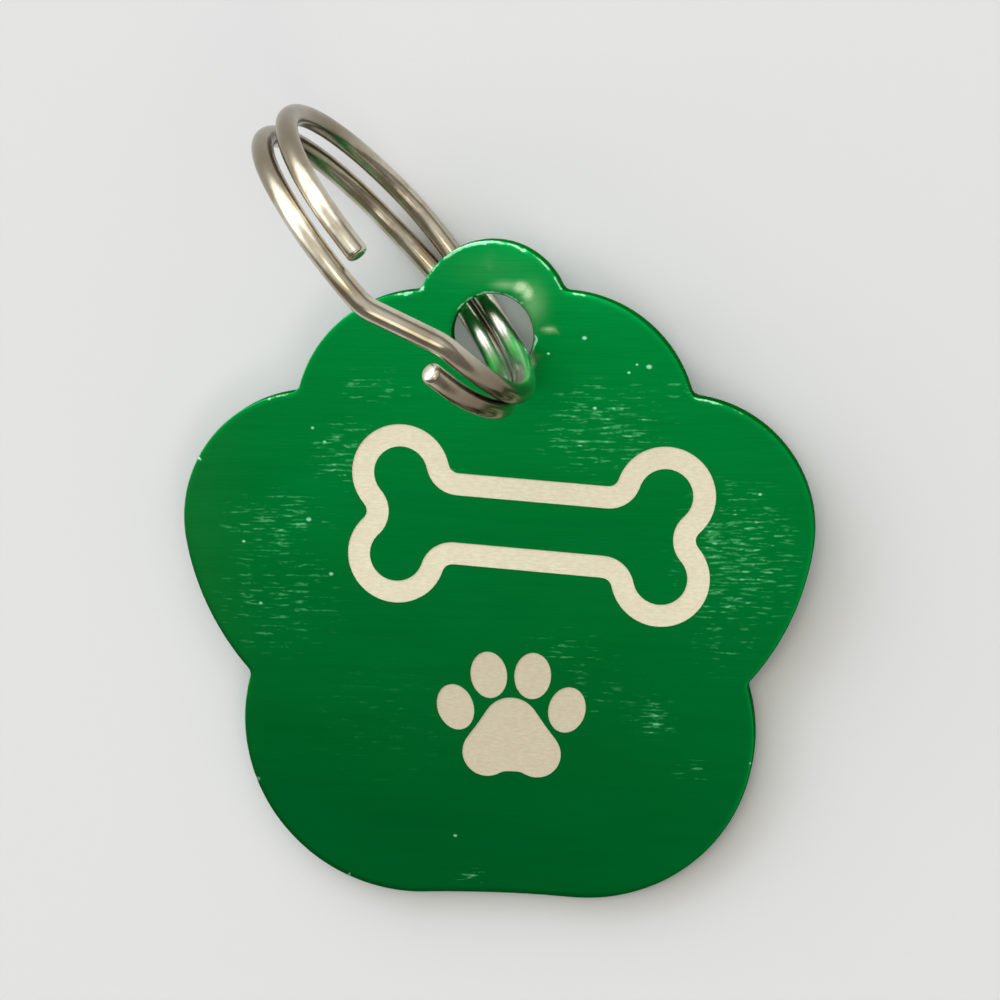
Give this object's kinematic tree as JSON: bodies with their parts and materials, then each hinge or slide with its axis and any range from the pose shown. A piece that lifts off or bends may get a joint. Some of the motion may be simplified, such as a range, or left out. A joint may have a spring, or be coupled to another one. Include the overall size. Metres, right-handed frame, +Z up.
{
  "type": "pet id tag",
  "caption": "Paw-shaped anodised aluminium pet tag with laser-marked bone and paw print, hanging on a polished split ring.",
  "frame": {"origin": "on the level surface the part lies on, in the middle of the whole part's length and width", "axes": "+Z up, out of the marked face; +Y along the plate from its bottom edge to its tab; +X to the right of the marked face"},
  "size_m": [0.032, 0.0402, 0.018],
  "materials": {
    "anodised_plate": "satin green anodising, brushed sideways, worn at the rims",
    "laser_mark": "bare metal under the marking laser, matt cream",
    "ring_wire": "polished nickel plate"
  },
  "bodies": {
    "tag": {"tag_plate": "anodised_plate"},
    "ring": {"split_ring": "ring_wire"}
  },
  "joints": [
    {"name": "ring_swing", "type": "hinge", "parent": "tag", "child": "ring", "pos_m": [0, 0.00883, 0.00239], "axis": [0.7604, 0.6481, 0.0423], "range_deg": [-97.5, 0]}
  ]
}
